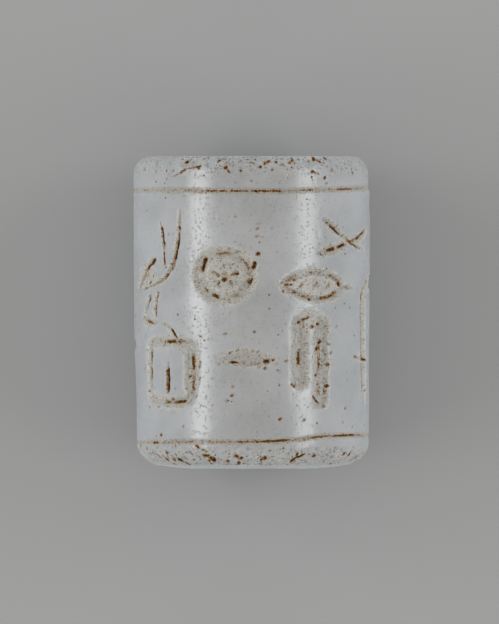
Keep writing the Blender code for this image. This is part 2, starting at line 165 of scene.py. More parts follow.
# The photograph's frame
FRAME_WIDTH = 499
FRAME_HEIGHT = 624
SEAL_CENTRE_X = 251.75
SEAL_CENTRE_Y = 312.6
METRES_PER_PIXEL = SEAL_LENGTH / 312
CAMERA_DISTANCE = 1.0
SENSOR = 36.0

# The lights, in metres
STRIP_DISTANCE = 0.3
SIDE_DISTANCE = 0.4
STRIP_SIZE = (0.1, 0.3)
LONG_SIDE_SIZE = (0.06, 0.4)
END_SIZE = (0.4, 0.06)

# A point of a mark is (degrees round, share of the half length). Grime is (from, to, strength) along the way.
Stroke = namedtuple("Stroke", "points lead grime half_width depth", defaults=[FIRM_HALF, MIDDLE_DEPTH])
Loop = namedtuple("Loop", "centre half_angle half_rise half_width depth grime")
Dish = namedtuple("Dish", "centre half_angle rise fall depth")
Pit = namedtuple("Pit", "centre radius depth grime")
Stain = namedtuple("Stain", "points half_width strength", defaults=[1.0])
Chip = namedtuple("Chip", "degrees end half_width reach bite")
Hollow = namedtuple("Hollow", "degrees half_angle start end soft depth")


def spots(places):
    """Small spots of dirt, wider the stronger they are."""
    stains = []
    for deg, share, strength in places:
        path = [(deg - 0.3, share - 0.002), (deg + 0.3, share + 0.002)]
        stains.append(Stain(path, LEAST_SPOT + SPOT_GROWTH * strength, strength))
    return stains


# The marks on the photographed side


def forked_figure():
    """Two tall horn-like strokes over a pod, with a splayed foot and a trailing line."""
    left_horn = [(-52.2, 0.61), (-49.6, 0.538), (-48.7, 0.475), (-47.9, 0.397), (-47.7, 0.31)]
    right_horn = [(-36.9, 0.66), (-37.5, 0.59), (-37.8, 0.5), (-39.2, 0.41), (-42.1, 0.301)]
    right_horn += [(-48.8, 0.212), (-59.7, 0.167), (-75, 0.13)]
    pod = [(-54.5, 0.34), (-59.7, 0.308), (-64.2, 0.267), (-68.8, 0.205), (-75, 0.14)]
    right_foot = [(-52, 0.14), (-53.9, 0.079), (-54.8, 0.017), (-53.9, -0.03)]
    base = [(-69, -0.035), (-61.6, -0.058), (-56.9, -0.067), (-52.7, -0.051)]
    tail = [(-50.5, -0.045), (-47.4, -0.073), (-43.2, -0.104), (-39.3, -0.163), (-34.5, -0.19)]
    horn_grime = [(0.2, 0.36, 0.85), (0.34, 0.46, 1), (0.46, 0.8, 0.45), (0.78, 0.97, 1)]
    long_grime = [(0.02, 0.2, 0.2), (0.2, 0.24, 0.95), (0.27, 0.33, 0.65), (0.34, 0.44, 0.95)]
    long_grime += [(0.46, 0.62, 0.35), (0.65, 0.69, 0.7), (0.72, 1, 0.33)]
    return [
        Stroke(left_horn, 0.5, horn_grime, HAIR_HALF, SHALLOW_DEPTH),
        Stain([(-49.3, 0.53), (-48.6, 0.47), (-48.2, 0.44)], 0.12 * MM),
        Stain([(-47.8, 0.35), (-47.5, 0.31)], 0.11 * MM),
        Stroke(right_horn, 0.6, long_grime, FINE_HALF, SHALLOW_DEPTH),
        Stain([(-38.4, 0.445), (-39.4, 0.4), (-40.6, 0.345)], 0.1 * MM),
        Stroke(pod, 0.3, [(0, 0.45, 0.9), (0.5, 1, 0.35)], FIRM_HALF, SHALLOW_DEPTH),
        Stain([(-54.8, 0.338), (-58.5, 0.315), (-62, 0.285)], 0.17 * MM),
        Stain([(-58.9, 0.105), (-60.6, 0.07), (-61.6, 0.03)], 0.1 * MM),
        Dish((-62.5, 0.232), 10, 0.085, 0.075, DISH_DEPTH),
        Stroke([(-58.7, 0.12), (-61.8, 0.06), (-66, -0.015)], 0.3, [(0.05, 0.6, 0.95)], FINE_HALF),
        Stroke(right_foot, 0.3, [(0, 1, 0.45)], FINE_HALF, SHALLOW_DEPTH),
        Stroke(base, 0.4, [(0.2, 0.55, 0.6)], FIRM_HALF, SHALLOW_DEPTH),
        Stroke(tail, 0.5, [(0.5, 0.72, 1), (0.8, 1, 0.6)], HAIR_HALF, HAIR_DEPTH),
        *spots([(-63.5, 0.24, 0.5), (-58, 0.23, 0.5), (-60.5, 0.19, 0.6), (-44.5, 0.5, 0.4)]),
    ]


def boxed_stroke():
    """A square outline of four cuts round one short deep stroke."""
    left, right, top, bottom = -60, -30.8, -0.188, -0.565
    middle = (left + right) / 2
    corner_turn, corner_share = 5, 0.055
    in_left, in_right = left + corner_turn, right - corner_turn
    in_top, in_bottom = top - corner_share, bottom + corner_share
    frame_path = [(in_left, top), (in_right, top), (right, in_top), (right, in_bottom), (in_right, bottom)]
    frame_path += [(in_left, bottom), (left, in_bottom), (left, in_top), (in_left, top)]
    frame_grime = [(0.05, 0.083, 0.95), (0.09, 0.12, 0.6), (0.27, 0.305, 0.85), (0.32, 0.37, 0.6)]
    frame_grime += [(0.49, 0.54, 1), (0.56, 0.58, 0.5), (0.8, 0.82, 0.8), (0.84, 0.87, 0.75)]
    return [
        Stroke(frame_path, 0, frame_grime, FRAME_HALF),
        Stroke([(right, in_top), (right, in_bottom)], 0.1, [], BROAD_HALF),
        Stroke([(middle, -0.31), (middle, -0.42), (middle, -0.51)], 0.4, [(0.25, 1, 1)], FINE_HALF),
        Stain([(middle, -0.375), (middle + 0.3, -0.43), (middle + 0.2, -0.5)], 0.22 * MM),
        *spots([
            (-43.2, -0.553, 0.8), (-64.5, -0.15, 0.5), (-25.5, -0.15, 0.5), (-53, -0.6, 0.5),
            (-61, -0.6, 0.5), (-28, -0.532, 0.8), (-32.2, -0.407, 0.8), (-26.2, -0.42, 0.5),
            (-49, -0.19, 0.5), (-56.5, -0.48, 0.4),
        ]),
    ]


def rosette():
    """A ringed roundel with a centre pit and short rays."""
    centre = (-13.5, 0.236)
    rays = 5
    ring_grime = [(0.04, 0.1, 0.45), (0.12, 0.15, 0.3), (0.22, 0.3, 0.4), (0.39, 0.46, 0.45)]
    ring_grime += [(0.59, 0.63, 0.4), (0.67, 0.71, 0.85), (0.8, 0.84, 0.35), (0.93, 0.97, 0.6)]
    cuts = [
        Dish(centre, 15.5, 0.178, 0.178, SHALLOW_DEPTH),
        Loop(centre, 12.6, 0.14, BROAD_HALF, MIDDLE_DEPTH, ring_grime),
        Pit(centre, PIT_RADIUS, MIDDLE_DEPTH, 0.3),
    ]
    for i in range(rays):
        angle = 2 * math.pi * i / rays + math.radians(20)
        path = []
        for share in (0.25, 0.8):
            deg = centre[0] + 10.5 * share * math.cos(angle)
            path.append((deg, centre[1] + 0.118 * share * math.sin(angle)))
        cuts.append(Stroke(path, 0.4, [(0.3, 0.7, 0.1 + 0.1 * i)], FINE_HALF))
    cuts += spots([
        (-14, 0.207, 0.85), (-12.8, 0.212, 0.6), (-17.4, 0.244, 0.6), (-16.6, 0.235, 0.5),
        (-7.3, 0.244, 0.7), (-8.6, 0.243, 0.6), (-10, 0.24, 0.5), (-9, 0.31, 0.4),
    ])
    return cuts + [
        Stain([(-23.5, 0.338), (-24.4, 0.305), (-24.9, 0.272)], 0.15 * MM),
        Stain([(1.5, 0.318), (0.7, 0.286)], 0.15 * MM),
        Stain([(0.1, 0.215), (-0.8, 0.18)], 0.1 * MM, 0.9),
    ]


def low_loaf():
    """A small dish, flat below and arched above, with a short deep cut near each end."""
    return [
        Dish((-2.6, -0.305), 14.5, 0.08, 0.05, MIDDLE_DEPTH),
        Stroke([(-11.2, -0.317), (-6.6, -0.317)], 0.5, [(0.1, 0.9, 1)], FINE_HALF, DEEP_DEPTH),
        Stroke([(5.2, -0.311), (9.3, -0.309)], 0.5, [(0.15, 0.85, 0.8)], FINE_HALF, DEEP_DEPTH),
        *spots([
            (6.5, -0.355, 0.8), (-3.1, -0.235, 0.5), (-10.6, -0.256, 0.6), (3, -0.25, 0.4),
            (-16, -0.33, 0.5), (0.5, -0.245, 0.5), (-6.8, -0.24, 0.5), (10.5, -0.3, 0.5),
            (12.2, -0.325, 0.4), (3.4, -0.35, 0.4),
        ]),
    ]


def leaf():
    """Two arcs that meet at both ends round a shallow field with slanting veins."""
    upper_arc = [(13.5, 0.178), (21.5, 0.228), (31.8, 0.252), (43, 0.232), (51, 0.175)]
    lower_arc = [(13.5, 0.178), (21.7, 0.128), (31, 0.094), (42, 0.102), (52, 0.165)]
    cuts = [
        Dish((32.5, 0.172), 19.5, 0.085, 0.085, DISH_DEPTH),
        Stroke(upper_arc, 0.2, [(0.05, 0.26, 0.35), (0.45, 0.6, 0.2), (0.72, 0.95, 0.36)]),
        Stroke(lower_arc, 0.2, [(0.15, 0.5, 0.28), (0.6, 0.85, 0.6)]),
        Stroke([(49, 0.175), (54, 0.16), (59, 0.155)], 0.5, [(0.2, 0.6, 0.2)], FINE_HALF, HAIR_DEPTH),
    ]
    for deg in (25, 33, 41):
        vein = [(deg - 1.5, 0.145), (deg + 1.5, 0.2)]
        cuts.append(Stroke(vein, 0.4, [(0.2, 0.8, 0.28)], HAIR_HALF))
    cuts += spots([
        (17.3, 0.176, 0.8), (19.4, 0.176, 0.7), (21.5, 0.208, 0.8), (15.4, 0.135, 0.6),
        (21.7, 0.131, 0.7), (26.3, 0.103, 0.7), (29.6, 0.083, 0.7), (36, 0.253, 0.6),
        (44.5, 0.13, 0.6), (48, 0.18, 1),
    ])
    return cuts


def capped_pair():
    """Two tall broad strokes side by side that run up into one round-topped field."""
    left, right, shoulder = 24.2, 36.1, -0.075
    middle = (left + right) / 2
    reach = (right - left) / 2 + math.degrees(LEG_HALF / MEAN_RADIUS)
    right_grime = [(0.2, 0.34, 0.5), (0.38, 0.62, 0.45), (0.8, 0.92, 0.4)]
    return [
        Dish((middle, shoulder), reach, 0.1, 0.035, MIDDLE_DEPTH),
        Stroke([(left, shoulder), (left, -0.43)], 0, [(0.48, 0.72, 0.75)], LEG_HALF, DEEP_DEPTH),
        Stroke([(right, shoulder), (right, -0.555)], 0, right_grime, LEG_HALF, DEEP_DEPTH),
        Stain([(32, -0.535), (33.5, -0.55), (36, -0.575)], 0.09 * MM),
        *spots([
            (26.3, -0.045, 0.9), (29.1, -0.032, 0.7), (31.8, -0.087, 1), (35.3, -0.073, 0.9),
            (36.6, -0.188, 1), (34.7, -0.226, 0.9), (34, -0.24, 0.6), (24.4, -0.06, 0.7),
            (28, -0.04, 0.6), (21.5, -0.47, 0.8), (34.2, -0.4, 0.8), (41.3, -0.2, 0.6),
            (41, -0.47, 0.7), (39.5, -0.5, 0.6),
        ]),
    ]


def crossed_strokes():
    """Four tapering strokes that cross two and two."""
    falling = [(46, 0.506), (54.3, 0.465), (62.9, 0.423), (75, 0.39)]
    rising = [(33, 0.372), (41.3, 0.396), (48.8, 0.42), (55.6, 0.45)]
    climbing = [(54, 0.445), (62.9, 0.468), (69.4, 0.496), (78, 0.545)]
    return [
        Stroke([(36.5, 0.6), (42.8, 0.55), (48.5, 0.495)], 0.5, [(0.45, 0.95, 0.8)]),
        Stroke(falling, 0.5, [(0.35, 0.7, 0.6)], FINE_HALF, SHALLOW_DEPTH),
        Stroke(rising, 0.4, [(0.3, 0.5, 1), (0.62, 0.85, 0.95)]),
        Stroke(climbing, 0.4, [(0.1, 0.35, 0.5), (0.4, 0.85, 0.9)]),
        *spots([
            (36, 0.37, 0.6), (38, 0.41, 0.5), (50.5, 0.49, 0.5), (40, 0.57, 0.6),
            (58.5, 0.44, 0.6),
        ]),
    ]


def tall_staple():
    """A tall groove that turns over at the top onto the hidden side, with a short bar across."""
    near_leg = [(73, -0.59), (72, -0.3), (70.8, -0.05), (71.2, 0.1)]
    near_leg += [(76, 0.17), (84, 0.2), (93, 0.18), (98, 0.1)]
    short_bar = [(60, -0.275), (68, -0.29), (79, -0.305)]
    return [
        Stroke(near_leg, 0.12, [(0, 0.4, 0.35), (0.4, 0.48, 0.8), (0.48, 1, 0.3)], BROAD_HALF),
        Stroke([(98, 0.12), (99, -0.2), (98, -0.58)], 0.12, [(0.1, 0.9, 0.35)], BROAD_HALF),
        Stroke(short_bar, 0.4, [(0.1, 0.35, 0.5), (0.7, 0.95, 0.9)], FINE_HALF),
    ]


def hidden_marks():
    """Plainer marks of the same kind on the hidden side."""
    some = [(0.2, 0.5, 0.7)]
    more = [(0.1, 0.35, 0.4), (0.5, 0.85, 0.9)]
    cuts = [
        Dish((122, 0.46), 14, 0.07, 0.07, DISH_DEPTH),
        Stroke([(110, 0.46), (122, 0.53), (134, 0.46)], 0.3, more),
        Stroke([(110, 0.46), (122, 0.39), (134, 0.46)], 0.3, some),
        Stroke([(118, 0.2), (120, -0.1), (119, -0.5)], 0.2, more, BROAD_HALF),
        Loop((141, 0.02), 8, 0.1, FINE_HALF, MIDDLE_DEPTH, more),
        Pit((141, 0.02), PIT_RADIUS, MIDDLE_DEPTH, 0.8),
        Stroke([(134, -0.28), (148, -0.3)], 0.3, some),
        Stroke([(134, -0.45), (148, -0.46)], 0.3, more),
        Stroke([(-88, 0.55), (-97, 0.3), (-90, 0.02)], 0.4, more),
        Stroke([(-84, -0.2), (-100, -0.22)], 0.4, some),
        Stroke([(-91, -0.25), (-92, -0.58)], 0.25, more, BROAD_HALF),
        Dish((-119, 0.1), 12, 0.06, 0.1, DISH_DEPTH),
        Stroke([(-108, 0.5), (-120, 0.42), (-131, 0.5)], 0.4, more),
    ]
    for deg in (-110, -121, -132):
        cuts.append(Stroke([(deg, -0.22), (deg - 1, -0.56)], 0.2, more))
    for share in (0.55, 0.32, 0.09):
        cuts.append(Stroke([(-141, share), (-151, share - 0.05)], 0.4, some, FINE_HALF))
    return cuts


def border_share(border, degrees):
    """Where a border line runs at an angle round the stone, between the places it was measured."""
    angles, shares = zip(*border)
    return np.interp(degrees, angles, shares, period=360)


def border_stains():
    """Dirt that lies in dashes along the two border lines."""
    upper = [
        (-66, -62, 0.5), (-34, -24, 0.4), (-22, -17, 0.8), (-15.6, -12.5, 0.8), (-10, -2, 0.85),
        (0, 2.5, 1), (3.5, 14, 0.8), (14, 24, 0.4), (24.7, 31, 0.6), (31, 46, 0.25), (46, 59, 0.85),
        (59, 78, 0.3), (96, 120, 0.6), (131, 150, 0.8), (-140, -104, 0.7),
    ]
    lower = [
        (-58, -54, 0.95), (-50, -42, 0.35), (-39.5, -30, 0.45), (-22, -8, 0.3), (-6.5, 4, 0.7),
        (4, 18, 0.9), (18, 30, 0.4), (30, 43, 0.75), (44, 61, 1), (61, 70, 0.5), (92, 128, 0.6),
        (-130, -90, 0.7),
    ]
    stains = []
    for border, dashes in ((UPPER_BORDER, upper), (LOWER_BORDER, lower)):
        for start, end, strength in dashes:
            path = []
            for i in range(DASH_SPANS + 1):
                deg = start + (end - start) * i / DASH_SPANS
                path.append((deg, float(border_share(border, deg))))
            stains.append(Stain(path, DASH_HALF_WIDTH, DASH_STRENGTH * strength))
    return stains


def loose_stains():
    """Single spots and short lines of dirt away from the marks."""
    places = [
        (-26.5, 0.931, 1), (-36, 0.976, 0.85), (-16.7, 0.969, 0.7), (-12.7, 0.924, 1),
        (6.5, 0.952, 0.8), (8.4, 0.965, 0.7), (15.1, 0.945, 0.55), (19.2, 0.958, 0.7),
        (20.9, 0.974, 0.7), (34.2, 0.987, 0.8), (41.6, 0.987, 0.8), (30.6, 0.897, 1),
        (38.2, 0.859, 1), (38.9, 0.823, 0.7), (-13, -0.133, 0.7), (1.1, -0.122, 0.8),
        (-9.4, -0.47, 0.7), (-9.4, -0.526, 0.9), (-11.9, -0.56, 0.8), (-50.9, -0.782, 0.9),
        (-35.7, -0.724, 0.7), (16.9, -0.308, 0.7), (9.9, 0.538, 0.5), (2.6, 0.532, 0.7),
        (2.3, 0.487, 0.8), (3, 0.375, 1), (13.7, -0.677, 1), (26.5, -0.684, 0.8),
        (6, 0.763, 0.5), (-22.9, -0.918, 1), (-23.8, -0.956, 0.6), (-41.4, -0.946, 1),
        (-45.3, -0.942, 0.8), (-7.9, -0.918, 0.9), (-5.5, -0.932, 0.8), (-7.3, -0.963, 0.8),
        (-14.1, -0.981, 0.8), (-4.7, -0.984, 0.9), (33.6, -0.918, 0.9), (5.2, -0.939, 0.75),
        (42.4, -0.256, 0.8), (40.9, -0.331, 0.8), (40.3, -0.468, 0.9), (53.9, -0.378, 0.5),
        (53.9, -0.43, 0.5), (52.8, -0.61, 0.8), (61.7, -0.282, 0.6), (-63, -0.24, 0.4),
        (-66, -0.36, 0.5), (-62.5, -0.5, 0.5), (46, -0.09, 0.6), (56, 0.03, 0.6),
        (51, -0.7, 0.6), (59, -0.73, 0.6), (-8, 0.61, 0.4),
    ]
    # Points, half width in millimetres and strength
    lines = [
        ([(-41.1, 0.868), (-38, 0.886)], 0.07, 0.6),
        ([(-37, 0.89), (-35.5, 0.903), (-33.9, 0.913)], 0.11, 0.85),
        ([(-32.5, 0.92), (-30.3, 0.926), (-27.6, 0.93)], 0.09, 0.85),
        ([(-12.7, 0.924), (-10.6, 0.89)], 0.08, 0.7),
        ([(31, 0.895), (34.7, 0.882)], 0.1, 0.8),
        ([(-28.4, -0.848), (-27, -0.858)], 0.1, 0.95),
        ([(-26, -0.866), (-22.6, -0.888)], 0.06, 0.6),
        ([(-24.8, -0.918), (-23.6, -0.924)], 0.12, 0.95),
        ([(-22.4, -0.94), (-21.2, -0.927), (-19.9, -0.94), (-21.2, -0.953), (-22.4, -0.94)], 0.11, 1),
        ([(21.7, -0.949), (23.2, -0.938)], 0.13, 1),
        ([(23, -0.936), (25.4, -0.918), (27.2, -0.907)], 0.1, 0.95),
        ([(-57.8, -0.908), (-55.5, -0.93)], 0.08, 0.8),
        ([(-42, -0.945), (-40.8, -0.947)], 0.17, 1),
        ([(-8.2, -0.917), (-7.4, -0.921)], 0.13, 1),
        ([(-26, -0.315), (-26.4, -0.345)], 0.1, 0.8),
    ]
    return [Stain(points, wide * MM, strength) for points, wide, strength in lines] + spots(places)


def chips():
    """Old losses along the two rounded edges."""
    # Degrees round, which end, half width, reach and bite in millimetres
    places = [
        (-33, 1, 1.8, 1.3, 0.26), (31, 1, 1.1, 0.9, 0.2), (150, 1, 1.5, 1.2, 0.25),
        (-22, -1, 1.5, 1.1, 0.22), (24, -1, 1.1, 0.9, 0.18), (82, -1, 3.4, 3, 0.3),
        (-112, -1, 1.8, 1.4, 0.28),
    ]
    return [Chip(deg, end, wide * MM, reach * MM, bite * MM) for deg, end, wide, reach, bite in places]


def hollows():
    """Broad places where the sides are rubbed a little lower than the rest."""
    return [
        Hollow(-90, 42, -1.2, -0.22, 0.35, 0.13 * MM),
        Hollow(-90, 24, -0.25, -0.16, 0.03, 0.07 * MM),
        Hollow(88, 38, 0.77, 1.3, 0.04, 0.11 * MM),
        Hollow(90, 24, 0.6, 0.79, 0.1, 0.05 * MM),
        Hollow(150, 34, -0.3, 0.35, 0.2, 0.1 * MM),
    ]


# The skin of the stone, as a grid of rings along its profile and columns round it


def side_radius(along):
    """Radius of the stone's side at a distance along its axis from the middle."""
    share = (along + HALF_LENGTH) / SEAL_LENGTH
    return (LOWER_DIAMETER + (UPPER_DIAMETER - LOWER_DIAMETER) * share) / 2


def bore_radius(along):
    """Radius of the bore, drilled from both ends and so a little narrower at the middle."""
    share = abs(along) / HALF_LENGTH
    return (BORE_WAIST_DIAMETER + (BORE_MOUTH_DIAMETER - BORE_WAIST_DIAMETER) * share) / 2


def stone_profile():
    """(radius, distance along) once round the cut face of the stone, from the lower bore mouth."""
    worn_mouth = bore_radius(HALF_LENGTH) + MOUTH_ROUND
    lower_side = LOWER_DOME_UP + LOWER_ROUND_UP - HALF_LENGTH
    upper_side = HALF_LENGTH - UPPER_ROUND_DOWN
    upper_flat_radius = side_radius(upper_side) - UPPER_ROUND_IN
    dome_reach = side_radius(lower_side) - LOWER_ROUND_IN - LOWER_FLAT_RADIUS
    profile = []
    for i in range(FACE_STEPS):
        profile.append((worn_mouth + (LOWER_FLAT_RADIUS - worn_mouth) * i / FACE_STEPS, -HALF_LENGTH))
    for i in range(DOME_STEPS):
        share = i / DOME_STEPS
        profile.append((LOWER_FLAT_RADIUS + dome_reach * share, LOWER_DOME_UP * share**2 - HALF_LENGTH))
    for i in range(ROUND_STEPS):
        angle = math.pi / 2 * i / ROUND_STEPS
        inset = LOWER_ROUND_IN * (1 - math.sin(angle))
        profile.append((side_radius(lower_side) - inset, lower_side - LOWER_ROUND_UP * math.cos(angle)))
    side_steps = round((upper_side - lower_side) / SIDE_STEP)
    for i in range(side_steps):
        along = lower_side + (upper_side - lower_side) * i / side_steps
        profile.append((side_radius(along), along))
    for i in range(ROUND_STEPS):
        angle = math.pi / 2 * (1 - i / ROUND_STEPS)
        inset = UPPER_ROUND_IN * (1 - math.sin(angle))
        profile.append((side_radius(upper_side) - inset, upper_side + UPPER_ROUND_DOWN * math.cos(angle)))
    for i in range(2 * FACE_STEPS):
        share = i / (2 * FACE_STEPS)
        profile.append((upper_flat_radius + (worn_mouth - upper_flat_radius) * share, HALF_LENGTH))
    for i in range(MOUTH_STEPS):
        angle = math.pi / 2 * i / MOUTH_STEPS
        along = HALF_LENGTH - MOUTH_ROUND * (1 - math.cos(angle))
        profile.append((bore_radius(along) + MOUTH_ROUND * (1 - math.sin(angle)), along))
    for i in range(2 * BORE_STEPS):
        along = (HALF_LENGTH - MOUTH_ROUND) * (1 - i / BORE_STEPS)
        profile.append((bore_radius(along), along))
    for i in range(MOUTH_STEPS):
        angle = math.pi / 2 * (1 - i / MOUTH_STEPS)
        along = MOUTH_ROUND * (1 - math.cos(angle)) - HALF_LENGTH
        profile.append((bore_radius(along) + MOUTH_ROUND * (1 - math.sin(angle)), along))
    return np.array(profile)


def turns_round():
    """Angles of the columns, closer together on the marked half."""
    fine = np.arange(-FINE_REACH, FINE_REACH, FINE_TURN)
    coarse = np.arange(FINE_REACH, 360 - FINE_REACH, COARSE_TURN)
    return np.radians(np.concatenate([fine, coarse - 360 * (coarse > 180)]))


class Skin:
    """Every grid point's place, outward direction and what has been done to it."""

    def __init__(self):
        profile = stone_profile()
        turns = turns_round()
        tangent = np.roll(profile, -1, axis=0) - np.roll(profile, 1, axis=0)
        tangent /= np.linalg.norm(tangent, axis=1)[:, None]
        travelled = np.cumsum(np.linalg.norm(profile - np.roll(profile, 1, axis=0), axis=1))
        middle = travelled[np.argmin(np.abs(profile[:, 1]) - profile[:, 0])]
        once_round = travelled[-1]
        self.shape = (len(profile), len(turns))
        radius, turn = np.meshgrid(profile[:, 0], turns, indexing="ij")
        self.radius = radius.ravel()
        self.turn = turn.ravel()
        self.along = np.repeat(profile[:, 1], len(turns))
        self.around = self.turn * MEAN_RADIUS
        self.run = np.repeat((travelled - middle + once_round / 2) % once_round, len(turns))
        self.lean = np.repeat(tangent[:, 1], len(turns))
        rise = -np.repeat(tangent[:, 0], len(turns))
        self.outward = np.stack([np.sin(self.turn) * self.lean, rise, np.cos(self.turn) * self.lean], axis=1)
        across = self.radius * np.sin(self.turn)
        height = AXIS_HEIGHT + self.radius * np.cos(self.turn)
        self.point = np.stack([across, self.along, height], axis=1)
        self.flank = self.lean > FACE_LEAN
        self.depth, self.ground, self.grime, self.worn = np.zeros((4, len(self.turn)))
        fine = self.grain(FRAY_CELL / 4, 12)
        self.fray = self.grain(FRAY_CELL, 11) - 0.5 + FINE_FRAY * (fine - 0.5)

    def grain(self, cell, seed):
        """Smooth random numbers from 0 to 1 over the skin, that repeat once round it."""
        columns = max(4, round(2 * math.pi * MEAN_RADIUS / cell))
        rows = math.ceil(self.run.max() / cell) + 3
        lattice = np.random.default_rng(seed).random((rows, columns))
        x = (self.around / (2 * math.pi * MEAN_RADIUS) + 0.5) * columns
        y = self.run / cell
        column = np.floor(x).astype(int)
        row = np.floor(y).astype(int)
        x -= column
        y -= row
        x = x * x * (3 - 2 * x)
        y = y * y * (3 - 2 * y)
        column %= columns
        beside = (column + 1) % columns
        low = lattice[row, column] * (1 - x) + lattice[row, beside] * x
        high = lattice[row + 1, column] * (1 - x) + lattice[row + 1, beside] * x
        return low * (1 - y) + high * y

    def near(self, around, along, margin):
        """Indices of the flank's points in the box round a set of places."""
        inside = self.flank & (self.around > around.min() - margin) & (self.around < around.max() + margin)
        inside &= (self.along > along.min() - margin) & (self.along < along.max() + margin)
        return np.nonzero(inside)[0]

    def sink(self, where, depth, ground, grime):
        """Deepens the skin at those points, unless it is deeper already, and dirties it."""
        self.depth[where] = np.maximum(self.depth[where], depth)
        self.ground[where] = np.maximum(self.ground[where], ground)
        self.grime[where] = np.maximum(self.grime[where], grime)


def on_skin(place):
    """(distance round, distance along) of a place given in degrees and share of the half length."""
    return math.radians(place[0]) * MEAN_RADIUS, place[1] * HALF_LENGTH


def smooth_path(points):
    """(distance round, distance along, share of the way) on a smooth curve through points."""
    knots = [np.array(on_skin(place)) for place in points]
    knots = [2 * knots[0] - knots[1], *knots, 2 * knots[-1] - knots[-2]]
    spans = len(knots) - 3
    steps = spans * PATH_STEPS_PER_SPAN
    path = []
    for i in range(steps + 1):
        span = min(i // PATH_STEPS_PER_SPAN, spans - 1)
        t = i / PATH_STEPS_PER_SPAN - span
        a, b, c, d = knots[span : span + 4]
        point = 2 * b + (c - a) * t + (2 * a - 5 * b + 4 * c - d) * t * t + (3 * b - a - 3 * c + d) * t**3
        path.append((*point / 2, i / steps))
    return np.array(path)


def nearest_on(path, around, along):
    """Distance to a path, and the share of the way along it, for each place."""
    distance = np.full(len(around), np.inf)
    way = np.zeros(len(around))
    for (x0, y0, w0), (x1, y1, w1) in zip(path[:-1], path[1:]):
        x, y = x1 - x0, y1 - y0
        share = np.clip(((around - x0) * x + (along - y0) * y) / (x * x + y * y), 0, 1)
        reach = np.hypot(around - x0 - share * x, along - y0 - share * y)
        closer = reach < distance
        distance = np.where(closer, reach, distance)
        way = np.where(closer, w0 + (w1 - w0) * share, way)
    return distance, way


def swell(way, lead):
    """How full a stroke is along its way: it tapers over a share called lead at each end."""
    nearest = np.minimum(np.minimum(way, 1 - way) / lead, 1)
    return np.maximum(LEAST_SWELL, np.sqrt(1 - (1 - nearest) ** 2))


def grime_along(way, grime):
    """How dirty a groove is at each share of its way."""
    dirt = np.zeros(len(way))
    for start, end, strength in grime:
        soft = 0.25 * (end - start) + 0.01
        fade = np.clip(np.minimum(way - start, end - way) / soft + 0.6, 0, 1)
        dirt = np.maximum(dirt, strength * fade)
    return dirt


def cut_stroke(skin, stroke):
    path = smooth_path(stroke.points)
    cut_along(skin, path, stroke.half_width, stroke.depth, stroke.lead, stroke.grime)


def cut_loop(skin, loop):
    turn_0, along_0 = on_skin(loop.centre)
    half_turn = math.radians(loop.half_angle) * MEAN_RADIUS
    way = np.linspace(0, 1, LOOP_STEPS + 1)
    angle = 2 * math.pi * way
    across = turn_0 + half_turn * np.cos(angle)
    up = along_0 + loop.half_rise * HALF_LENGTH * np.sin(angle)
    cut_along(skin, np.stack([across, up, way], axis=1), loop.half_width, loop.depth, 0, loop.grime)


def cut_along(skin, path, half_width, depth, lead, grime):
    """Sinks a boat-shaped groove along a path, dirtiest along its deepest line."""
    where = skin.near(path[:, 0], path[:, 1], half_width + HAZE_REACH)
    distance, way = nearest_on(path, skin.around[where], skin.along[where])
    full = swell(way, lead) if lead else np.ones(len(way))
    dirt_distance = np.maximum(distance + DIRT_FRAY * skin.fray[where] * EDGE_FRAY, 0)
    distance = np.maximum(distance + skin.fray[where] * EDGE_FRAY, 0)
    share = distance / (half_width * full)
    haze = np.clip((half_width * full - distance) / HAZE_REACH + 1, 0, 1) * np.minimum(2 * full, 1)
    groove = 1 - np.minimum(share, 1) ** 2
    worn_groove = groove ** (0.5 + WORN_LIP / half_width)
    dirt_reach = min(DIRT_WIDTH_SHARE * half_width, WIDEST_DIRT) * full
    dirt = grime_along(way, grime) * (1 - np.clip(dirt_distance / dirt_reach, 0, 1) ** 2)
    skin.sink(where, depth * full * worn_groove, haze, dirt)


def cut_dish(skin, dish):
    """Sinks a shallow field with its own rise and fall from the centre."""
    turn_0, along_0 = on_skin(dish.centre)
    half_turn = math.radians(dish.half_angle) * MEAN_RADIUS
    reach = np.array([-half_turn, half_turn])
    climb = np.array([-dish.fall, dish.rise]) * HALF_LENGTH
    where = skin.near(turn_0 + reach, along_0 + climb, BOWL_MARGIN * half_turn)
    up = skin.along[where] - along_0
    upright = np.where(up > 0, climb[1], -climb[0])
    share = np.hypot((skin.around[where] - turn_0) / half_turn, up / upright)
    share = np.maximum(share + skin.fray[where] * EDGE_FRAY / half_turn, 0)
    bowl = 1 - np.minimum(share, 1) ** BOWL_POWER
    haze = np.clip((BOWL_HAZE_END - share) * BOWL_HAZE_FADE, 0, 1)
    skin.sink(where, dish.depth * bowl**BOWL_LIP_POWER, haze, np.zeros(len(where)))


def cut_pit(skin, pit):
    sink_pit(skin, *on_skin(pit.centre), pit.radius, pit.depth, pit.grime)


def sink_pit(skin, around, along, radius, depth, grime):
    where = skin.near(np.array([around]), np.array([along]), radius)
    share = np.hypot(skin.around[where] - around, skin.along[where] - along) / radius
    bowl = np.clip(1 - share * share, 0, 1)
    skin.sink(where, depth * bowl, bowl, grime * bowl)


